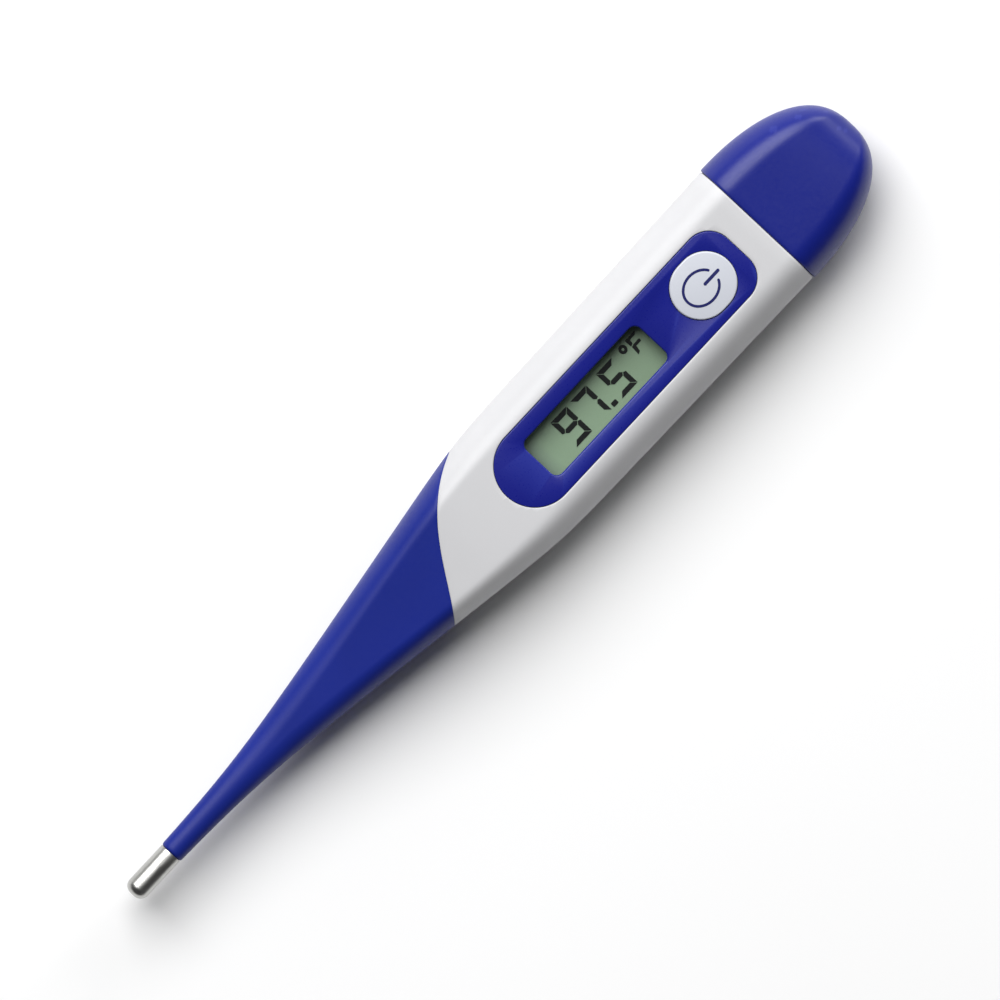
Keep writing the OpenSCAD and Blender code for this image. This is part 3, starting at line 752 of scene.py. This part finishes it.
LEAD_R = 0.15
LEAD_OFFSETS = (-0.3, 0.3)
LEAD_Z = 5.55
HAIRPIN_R = 1.2
HAIRPIN_S = (64.5, 67.2)
LEAD_FRONT_S = 2.85
LEAD_END_S = 70.5
SLACK_S = 62.0


def tube(path, r, sides=10):
    """Points and faces of a round tube along a path in the plane of the board."""
    rings = []
    for k, here in enumerate(path):
        ahead = path[min(k + 1, len(path) - 1)]
        behind = path[max(k - 1, 0)]
        run = np.array([ahead[0] - behind[0], ahead[1] - behind[1], 0.0])
        run /= np.linalg.norm(run)
        out = np.cross(run, (0, 0, 1))
        a = np.arange(sides) * 2 * math.pi / sides
        rings.append(np.array([here[0], here[1], LEAD_Z])
                     + r * (np.outer(np.cos(a), out) + np.outer(np.sin(a), (0, 0, 1))))
    return chain(rings)


def straight(a, b, y, step=0.8):
    return [(s, y) for s in np.linspace(a, b, max(2, int(abs(b - a) / step) + 1))]


def slack_path(offset):
    """Two hairpins in front of the board, the same as the CAD leads."""
    front, rear = HAIRPIN_S
    first = arc((rear, HAIRPIN_R), HAIRPIN_R - offset, -90, 90, 16)
    second = arc((front, 3 * HAIRPIN_R), HAIRPIN_R + offset, 270, 90, 16)
    return (straight(SLACK_S, rear, offset)[:-1] + first + straight(rear, front, 2 * HAIRPIN_R - offset)[1:-1]
            + second + straight(front, LEAD_END_S, 4 * HAIRPIN_R + offset)[1:])


def lead_pair(name, path_of):
    points, faces = joined([tube(path_of(offset), LEAD_R) for offset in LEAD_OFFSETS])
    made = make_object(name, points, faces, varnish)
    return made


def make_leads():
    slack = lead_pair("leads_slack", slack_path)
    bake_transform(slack)
    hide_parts("lead_wires")
    rear = lead_pair("leads_rear", lambda y: straight(SEAM_S[0], SLACK_S, y))
    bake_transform(rear)
    middle = lead_pair("leads_middle", lambda y: straight(SEAM_S[1], SEAM_S[0], y))
    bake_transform(middle)
    front = lead_pair("leads_front", lambda y: straight(LEAD_FRONT_S, SEAM_S[1], y))
    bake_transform(front)


# ---------------------------------------------------------------- handle
RIM = ((0.30, 0.0), (0.16, 0.025), (0.06, 0.09), (0.0, 0.2))


def housing_rings():
    """Outside from the skin's edge to the rear rim, then inside to the front of the core and back."""
    rear = CAP_S - PARTING_GAP
    first = EDGE + EDGE_ROUND[0][0]
    rings = [lowered(EDGE + back, depth) for back, depth in EDGE_ROUND[:0:-1]]
    for t in np.linspace(0, 1, 24):
        rings.append(lofted(OUTER, first + (76.0 - first) * t))
    rings += [pen_ring(s) for s in np.linspace(78, rear - RIM[0][0], 24)]
    rings += [pen_ring(rear - back, inset) for back, inset in RIM[1:]]
    bay = bar_section(*BAY_SIZE, BAY_R)
    lead_in = bar_section(BAY_SIZE[0] + 0.3, BAY_SIZE[1] + 0.3, BAY_R + 0.15)
    rings += [ring(rear, lead_in), ring(rear - 0.3, bay)]
    rings += [ring(s, bay) for s in np.linspace(rear - 3, BAY_S, 10)]
    chamber = bar_section(*CHAMBER_SIZE, 1.0, MID_Z)
    rings += [ring(s, chamber) for s in (BAY_S, (BAY_S + CHAMBER_S) / 2, CHAMBER_S)]
    bore = round_section(LEAD_BORE_R)
    rings += [ring(s, bore) for s in np.linspace(CHAMBER_S, CORE_S, 8)]
    for t in np.linspace(0, 1, 16):
        rings.append(lofted(CORE, CORE_S + (CORE_EDGE - CORE_S) * t))
    return rings


def flared(outline_of, bottom, top, flare):
    """A cutter for a hole whose rim is slightly rounded: it opens out over the last stretch."""
    shares = ((0.0, 1.0), (0.15, 0.5), (0.5, 0.15), (1.0, 0.0))
    return ([(outline_of(0.0), bottom)]
            + [(outline_of(flare * out), top - flare * down) for out, down in shares]
            + [(outline_of(flare), top + 2)])


def make_housing():
    housing = skin("housing_skin", housing_rings(), white_abs, loop=True)
    gap = 0.05
    recess = prism("recess_cutter", flared(lambda g: panel_outline(gap + g), PANEL_Z, THICKNESS, 0.12))
    through = (MID_Z, THICKNESS + 1)
    window = prism("window_cutter", [(window_outline(LENS_BORDER), z) for z in through])
    opening = prism("opening_cutter", [(oval_outline(OPENING_SIZE), z) for z in through])
    foot = prism("foot", [(foot_outline(), FOOT_HEIGHT + FOOT_ROOT), (foot_outline(), 0.08),
                          (foot_outline(-0.02), 0.03), (foot_outline(-0.08), 0)])
    carve(housing, [recess, window, opening], [foot])
    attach(housing, "handle")
    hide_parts("housing_shell")


def make_panel():
    top = THICKNESS
    layers = [(panel_outline(), PANEL_Z), (panel_outline(), top - 0.12), (panel_outline(-0.02), top - 0.05),
              (panel_outline(-0.06), top - 0.015), (panel_outline(-0.14), top)]
    panel = prism("panel", layers, panel_blue)
    window = prism("window_cutter", flared(window_outline, PANEL_Z - 1, top, 0.22))
    hole = prism("hole_cutter", flared(lambda g: oval_outline(KEY_SIZE, 0.07 + g), PANEL_Z - 1, top, 0.06))
    carve(panel, [window, hole])
    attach(panel, "handle")
    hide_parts("display_panel")


# ---------------------------------------------------------------- key and its symbol
KEY_CROWN = 0.16
KEY_EDGE = 0.22
KEY_WALL_Z = 10.4
SYMBOL_S = KEY_S - 0.4
SYMBOL_R = (2.42, 2.05)
SYMBOL_GAP = 25.0
SYMBOL_BAR_S = (KEY_S + 0.3, KEY_S + 2.6)
SYMBOL_WIDTH = 0.34
SYMBOL_BAR_WIDTH = 0.42


def key_height(share):
    """Height of the key's top at a share of the way from its middle to its edge."""
    return KEY_TOP - KEY_CROWN * share ** 2


def make_key():
    half = KEY_SIZE[1] / 2
    layers = []
    for share in np.linspace(0.03, 1, 16):
        inner = half - KEY_EDGE
        layers.append((oval_outline((KEY_SIZE[0] - KEY_SIZE[1] + 2 * inner * share, 2 * inner * share)),
                       key_height(share)))
    for a in np.radians(np.linspace(12, 90, 7)):
        layers.append((oval_outline(KEY_SIZE, -KEY_EDGE * (1 - math.sin(a))),
                       key_height(1) - KEY_EDGE * (1 - math.cos(a))))
    layers += [(oval_outline(KEY_SIZE), KEY_WALL_Z), (oval_outline(KEY_SIZE), FLANGE_Z[1])]
    layers += [(oval_outline(FLANGE_SIZE, -0.1), FLANGE_Z[1]), (oval_outline(FLANGE_SIZE), FLANGE_Z[1] - 0.1),
               (oval_outline(FLANGE_SIZE), FLANGE_Z[0] + 0.1), (oval_outline(FLANGE_SIZE, -0.1), FLANGE_Z[0])]
    plunger = (2 * PLUNGER_R, 2 * PLUNGER_R)
    layers += [(oval_outline(plunger), FLANGE_Z[0]), (oval_outline(plunger), PLUNGER_Z)]
    key = prism("key", layers, key_white)
    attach(key, "key")
    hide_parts("power_key")
    make_symbol()


def stroke(path, width, lift=0.02, thickness=0.06):
    """A printed line with round ends that follows the crown of the key."""
    path = np.array(path)
    run = np.gradient(path, axis=0)
    run /= np.linalg.norm(run, axis=1)[:, None]
    out = np.column_stack([-run[:, 1], run[:, 0]]) * width / 2
    left, right = path + out, path - out
    cap_a = np.radians(np.linspace(0, 180, 9)[1:-1])
    end = [path[-1] + math.cos(a) * -out[-1] + math.sin(a) * run[-1] * width / 2 for a in cap_a]
    start = [path[0] + math.cos(a) * out[0] - math.sin(a) * run[0] * width / 2 for a in cap_a]
    outline = np.vstack([right, end, left[::-1], start])
    beyond = np.maximum(np.abs(outline[:, 0] - KEY_S) - (KEY_SIZE[0] - KEY_SIZE[1]) / 2, 0)
    shares = np.hypot(beyond, outline[:, 1]) / (KEY_SIZE[1] / 2 - KEY_EDGE)
    top = np.column_stack([outline, key_height(shares) + lift])
    return slab(top, top - (0, 0, thickness))


def make_symbol():
    """The power sign: an open ring and a bar through its gap, which points to the cap."""
    turns = np.radians(np.linspace(SYMBOL_GAP, 360 - SYMBOL_GAP, 49))
    open_ring = [(SYMBOL_S + SYMBOL_R[0] * math.cos(a), SYMBOL_R[1] * math.sin(a)) for a in turns]
    bar = [(s, 0.0) for s in np.linspace(*SYMBOL_BAR_S, 8)]
    points, faces = joined([stroke(open_ring, SYMBOL_WIDTH), stroke(bar, SYMBOL_BAR_WIDTH)])
    symbol = make_object("power_symbol", points, faces, symbol_ink)
    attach(symbol, "key")


# ---------------------------------------------------------------- readout
BAR = 0.66
NICK = 0.1
POINT_LENGTH = 0.12


def segment(kind, width, height):
    """Outline of one bar of a seven-bar digit, with its lower left corner at the origin."""
    w, h, b, g = width, height, BAR, NICK / 2
    m = h / 2
    end = g + POINT_LENGTH
    shapes = {
        "a": [(g, h), (w - g, h), (w - b - g, h - b), (b + g, h - b)],
        "d": [(g, 0), (w - g, 0), (w - b - g, b), (b + g, b)],
        "f": [(0, h - g), (b, h - b - g), (b, m + b / 2 + g), (b / 2, m + g), (0, m + end)],
        "b": [(w, h - g), (w - b, h - b - g), (w - b, m + b / 2 + g), (w - b / 2, m + g), (w, m + end)],
        "e": [(0, g), (b, b + g), (b, m - b / 2 - g), (b / 2, m - g), (0, m - end)],
        "c": [(w, g), (w - b, b + g), (w - b, m - b / 2 - g), (w - b / 2, m - g), (w, m - end)],
        "g": [(b / 2 + g, m), (b + g, m + b / 2), (w - b - g, m + b / 2), (w - b / 2 - g, m),
              (w - b - g, m - b / 2), (b + g, m - b / 2)],
    }
    return shapes[kind]


BARS_OF = {"9": "abcdfg", "7": "abc", "5": "acdfg"}
DIGITS = (("9", 77.65), ("7", 81.2), ("5", 85.85))
DIGIT_SIZE = (2.85, 4.42)
DIGIT_Y = -2.34
DOT_S, DOT_Y, DOT_R = (84.6, 85.15), (-2.2, -1.85), 0.15
DEGREE_PLACE, DEGREE_OUTER, DEGREE_INNER = (90.38, 1.74), (0.55, 0.6), (0.17, 0.2)
LETTER_HEAD = ((91.3, 2.3), (93.05, 2.3), (92.75, 1.95), (91.8, 1.9), (91.75, 1.35), (91.3, 1.25))
LETTER_FOOT = ((91.35, 1.1), (91.75, 1.25), (92.75, 1.25), (92.75, 0.85), (91.85, 0.85), (91.7, 0.1),
               (91.25, -0.1))
INK_LIFT, INK_THICKNESS = 0.01, 0.03


def plate(outline, z):
    return slab(level(outline, z + INK_THICKNESS), level(outline, z))


def washer(centre, outer, inner, z, steps=28):
    """The degree mark: a small flat ring."""
    out = arc(centre, 1.0, 0, 360 - 360 / steps, steps - 1)
    top = z + INK_THICKNESS
    grow = [(outer, z), (outer, top), (inner, top), (inner, z)]
    rings = [np.array([(centre[0] + (s - centre[0]) * r[0], centre[1] + (y - centre[1]) * r[1], height)
                       for s, y in out]) for r, height in grow]
    return chain(rings, loop=True)


def make_readout():
    shapes = []
    z = FILM_TOP + INK_LIFT
    for digit, s in DIGITS:
        for kind in BARS_OF[digit]:
            outline = [(s + x, DIGIT_Y + y) for x, y in segment(kind, *DIGIT_SIZE)]
            shapes.append(plate(outline, z))
    shapes.append(plate(round_box(DOT_S, DOT_Y, DOT_R, 4), z))
    shapes.append(washer(DEGREE_PLACE, DEGREE_OUTER, DEGREE_INNER, z))
    shapes += [plate(outline[::-1], z) for outline in (LETTER_HEAD, LETTER_FOOT)]
    points, faces = joined(shapes)
    readout = make_object("readout", points, faces, digit_ink)
    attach(readout, "circuit")


# ---------------------------------------------------------------- snap dome under the key
def make_dome():
    """A thin round cap whose rim sits on the switch."""
    low, high = span("switch_dome", 2)
    reach = (span("switch_dome", 0)[1] - span("switch_dome", 0)[0]) / 2
    wall = 0.04
    steps = 48
    ball = (reach ** 2 + (high - low) ** 2) / (2 * (high - low))

    def levels(r, slopes):
        last = 360 - 360 / steps
        return [(arc((KEY_S, 0), r * math.sin(a), 0, last, steps - 1), high - ball + r * math.cos(a))
                for a in slopes]

    rim = math.asin(reach / ball)
    inner_rim = math.acos((ball - high + low) / (ball - wall))
    dome = prism("dome", levels(ball, np.linspace(0.01, rim, 16))
                 + levels(ball - wall, np.linspace(inner_rim, 0.01, 16)), spring_steel)
    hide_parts("switch_dome")
    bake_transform(dome)


# ---------------------------------------------------------------- battery cap
def spigot_section(wall_in):
    width = BAY_SIZE[0] - 2 * SPIGOT_GAP - 2 * wall_in
    height = BAY_SIZE[1] - 2 * SPIGOT_GAP - 2 * wall_in
    return bar_section(width, height, SPIGOT_R - wall_in)


def cap_rings():
    """From the round end over the outside to the parting face, out along the plug and into the room."""
    ends = LENGTH - 0.01 - (LENGTH - CAP_S - 1) * (1 - np.cos(np.linspace(0, math.pi / 2, 60)))
    rings = [pen_ring(s) for s in ends]
    rings += [pen_ring(CAP_S + back, inset) for back, inset in RIM]
    outer = spigot_section(0)
    rings += [ring(CAP_S, spigot_section(-0.25)), ring(CAP_S - 0.25, outer), ring(RING_S[1], outer)]
    groove = spigot_section(0.6)
    rings += [ring(RING_S[1], groove), ring(RING_S[0], groove), ring(RING_S[0], outer)]
    rings += [ring(SPIGOT_S + 0.3, outer), ring(SPIGOT_S + 0.08, spigot_section(0.08)),
              ring(SPIGOT_S, spigot_section(0.3)), ring(SPIGOT_S, spigot_section(0.85)),
              ring(SPIGOT_S + 0.15, spigot_section(1.0))]
    rings += [ring(s, spigot_section(1.0)) for s in np.linspace(SPIGOT_S + 2, ROOM_S, 8)]
    return rings


def make_cap():
    cap = skin("cap_skin", cap_rings(), cap_blue)
    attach(cap, "cap")
    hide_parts("battery_cap")


# ---------------------------------------------------------------- stage and light
def make_stage():
    material, tree, shader = new_material("floor")
    place = place_node(tree)
    slow = noise_node(tree, place, 6.0, 2.0)
    link(tree, ramp_node(tree, slow, [(0.3, (0.88, 0.88, 0.88)), (0.7, (0.9, 0.9, 0.9))]),
         shader.inputs["Base Color"])
    shader.inputs["Roughness"].default_value = 0.9
    half = 3.0
    corners = [(-half, -half, 0), (half, -half, 0), (half, half, 0), (-half, half, 0)]
    mesh = bpy.data.meshes.new("floor")
    mesh.from_pydata(corners, [], [(0, 1, 2, 3)])
    mesh.materials.append(material)
    floor = bpy.data.objects.new("floor", mesh)
    bpy.context.scene.collection.objects.link(floor)


def soft_box(name, place, size, power, aim=(0, 0, 0.005)):
    data = bpy.data.lights.new(name, "AREA")
    data.shape = "RECTANGLE"
    data.size, data.size_y = size
    data.energy = power
    lamp = bpy.data.objects.new(name, data)
    bpy.context.scene.collection.objects.link(lamp)
    lamp.location = place
    lamp.rotation_mode = "QUATERNION"
    lamp.rotation_quaternion = (Vector(aim) - Vector(place)).to_track_quat("-Z", "Y")


def make_light():
    """A wide soft box high on the +Y side, a low one beyond the cap, a small one close over
    the steel tip, and a dim pale room."""
    soft_box("key_light", (0.40, 1.00, 1.30), (1.5, 1.5), 43.0)
    soft_box("end_light", (1.35, 0.35, 0.50), (0.9, 0.6), 11.0)
    tip_mid = Vector(((TIP_LENGTH / 2 + TIP_X) * MM, 0, MID_Z * MM))
    soft_box("steel_light", tip_mid + Vector((0, 0.010, 0.060)), (0.018, 0.040), 0.0020, tip_mid)
    world = bpy.data.worlds.new("room")
    world.use_nodes = True
    background = world.node_tree.nodes["Background"]
    background.inputs["Color"].default_value = (0.95, 0.96, 1.0, 1)
    background.inputs["Strength"].default_value = 0.05
    bpy.context.scene.world = world
    bpy.context.scene.view_settings.view_transform = "Standard"


finish_cad_nodes()
make_sleeve()
make_probe_tip()
make_leads()
make_housing()
make_panel()
make_key()
make_readout()
make_dome()
make_cap()
make_stage()
make_light()
